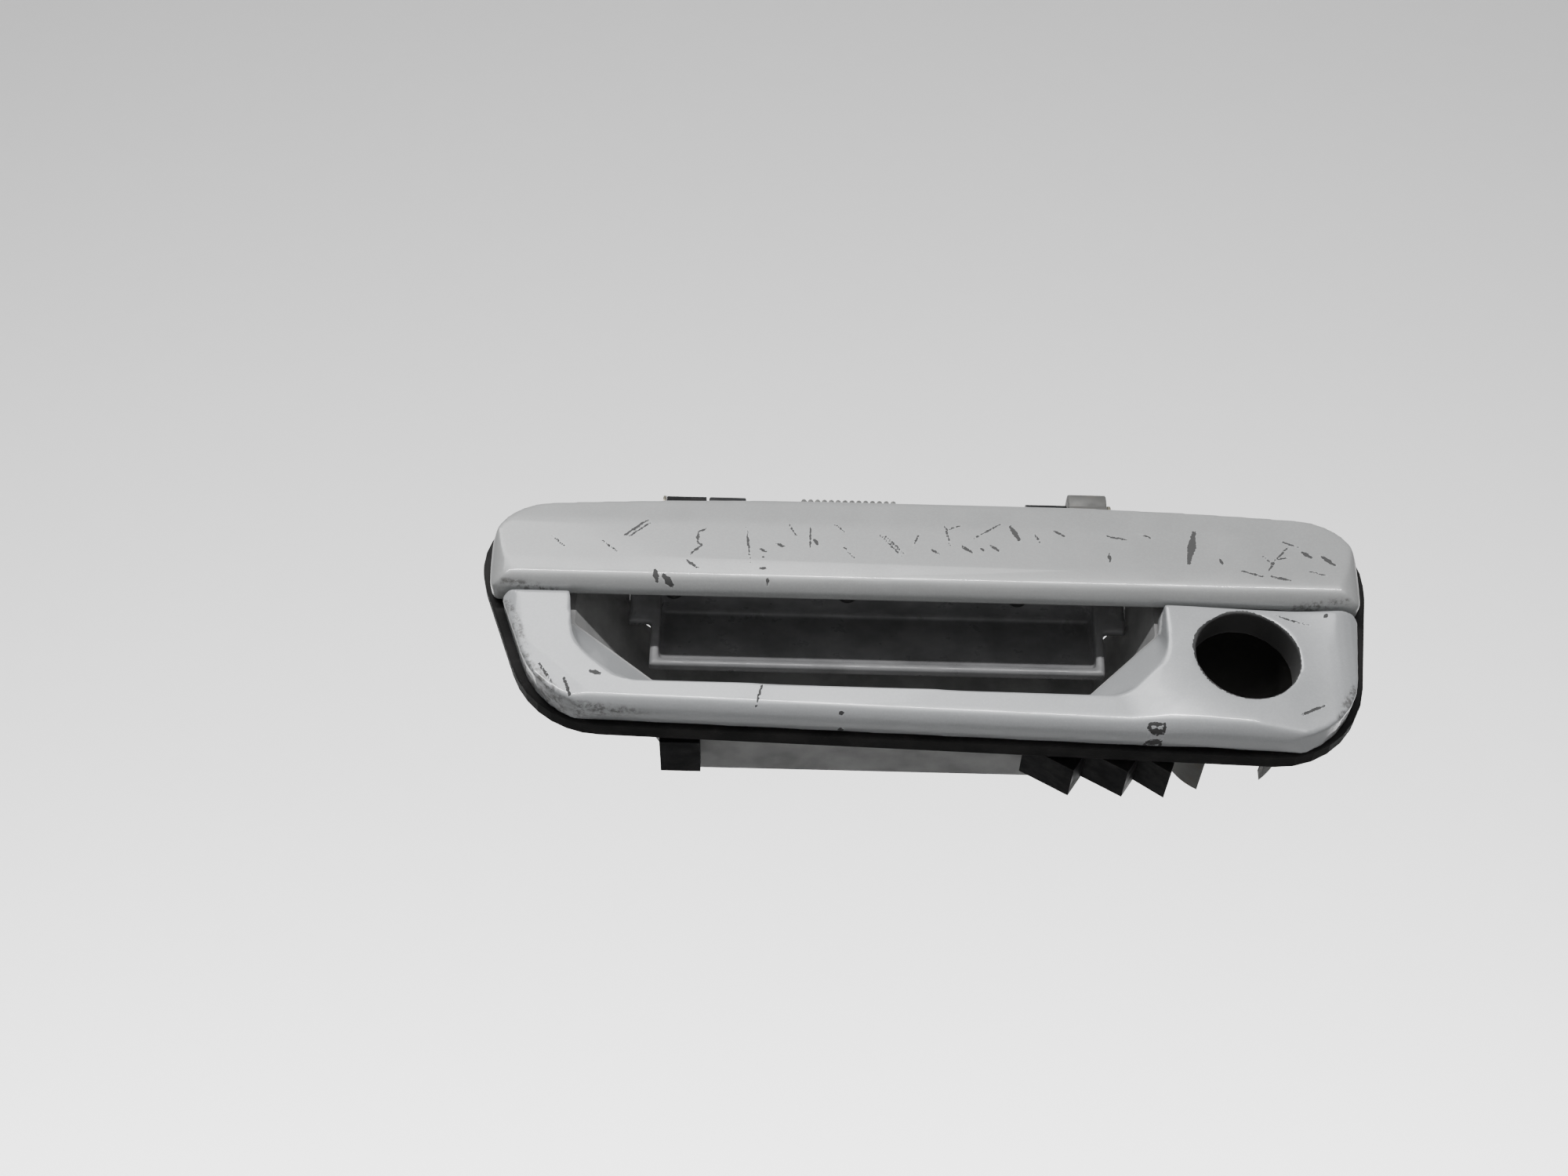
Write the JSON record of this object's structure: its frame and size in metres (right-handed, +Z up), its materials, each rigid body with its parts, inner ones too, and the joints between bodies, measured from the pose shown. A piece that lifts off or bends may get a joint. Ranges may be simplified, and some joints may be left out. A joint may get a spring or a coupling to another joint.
{
  "type": "car door handle",
  "caption": "Pull-up exterior car door handle: painted flap and bezel with finger pocket and lock hole, on a black carrier with sprung hinge and rod lever.",
  "frame": {"origin": "centre of the two mounting studs on the door-skin plane, which is the gasket's rear face", "axes": "+X to the right seen from outside the car, along the handle; +Z up; +Y into the door, along the studs"},
  "size_m": [0.2328, 0.0519, 0.0913],
  "materials": {
    "body_paint": "gloss off-white body paint, scratched and chipped",
    "gasket_rubber": "matt black rubber",
    "black_nylon": "fine moulded black nylon",
    "grey_plastic": "satin grey moulded plastic",
    "dark_plastic": "dark grey moulded plastic",
    "cast_zinc": "as-cast zinc with fine grain",
    "black_steel": "black coated steel",
    "plated_steel": "zinc plated steel",
    "bright_steel": "ground steel",
    "spring_steel": "drawn spring wire",
    "screw_steel": "black oxide steel",
    "white_nylon": "natural nylon",
    "clip_nylon": "yellow nylon"
  },
  "bodies": {
    "housing": {"bezel": "body_paint", "gasket": "gasket_rubber", "carrier": "black_nylon", "pocket_liner": "grey_plastic", "lock_sleeve": "cast_zinc", "hinge_pin": "bright_steel", "pin_clips": "plated_steel", "return_spring": "spring_steel", "mounting_studs": "plated_steel", "bezel_screws": "screw_steel", "liner_screws": "screw_steel", "sleeve_screws": "screw_steel", "bump_stops": "gasket_rubber"},
    "paddle_assembly": {"paddle": "body_paint", "grip_scoop": "dark_plastic", "hinge_arm_left": "black_steel", "hinge_arm_right": "plated_steel", "hinge_bushes": "white_nylon", "scoop_screws": "screw_steel", "arm_screws": "screw_steel", "rod_bush": "white_nylon"},
    "clip": {"rod_clip": "clip_nylon"}
  },
  "joints": [
    {"name": "paddle_hinge", "type": "hinge", "parent": "housing", "child": "paddle_assembly", "pos_m": [0, 0.007, 0.0422], "axis": [-1, 0, 0], "range_deg": [0, 35], "stiffness_Nm_per_rad": 0.25, "springref_deg": -45.84, "deforming": ["return_spring"]},
    {"name": "rod_clip_swivel", "type": "hinge", "parent": "paddle_assembly", "child": "clip", "pos_m": [0, 0.029, 0.0482], "axis": [-1, 0, 0], "range_deg": [-60, 60]}
  ]
}
